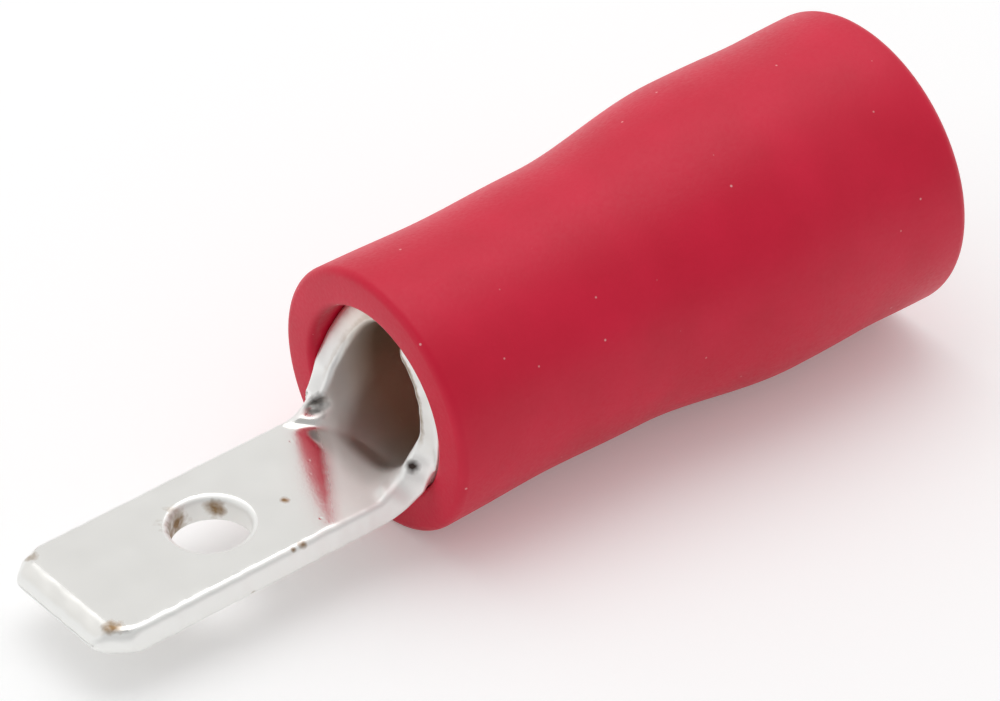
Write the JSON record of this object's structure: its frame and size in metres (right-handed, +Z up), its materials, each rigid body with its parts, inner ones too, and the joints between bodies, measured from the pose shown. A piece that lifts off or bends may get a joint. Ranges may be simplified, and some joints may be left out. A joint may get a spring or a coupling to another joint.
{
  "type": "male spade terminal",
  "caption": "Insulated male spade terminal: a flat tab with a latch hole curls up into a round wire barrel, gripped by a stepped soft sleeve that reaches back over the wire.",
  "frame": {"origin": "middle of the barrel's rear mouth, where the bare wire goes in", "axes": "+X along the barrel towards the wire, so the tab points to -X; +Z up, away from the table, through the barrel's seam; +Y across the tab"},
  "size_m": [0.0168, 0.0052, 0.0052],
  "materials": {
    "tinned_brass": "satin tin plate over brass, bare brass in specks at the cut corners",
    "red_pvc": "soft satin PVC"
  },
  "bodies": {
    "root": {"terminal": "tinned_brass", "sleeve": "red_pvc"}
  },
  "joints": []
}
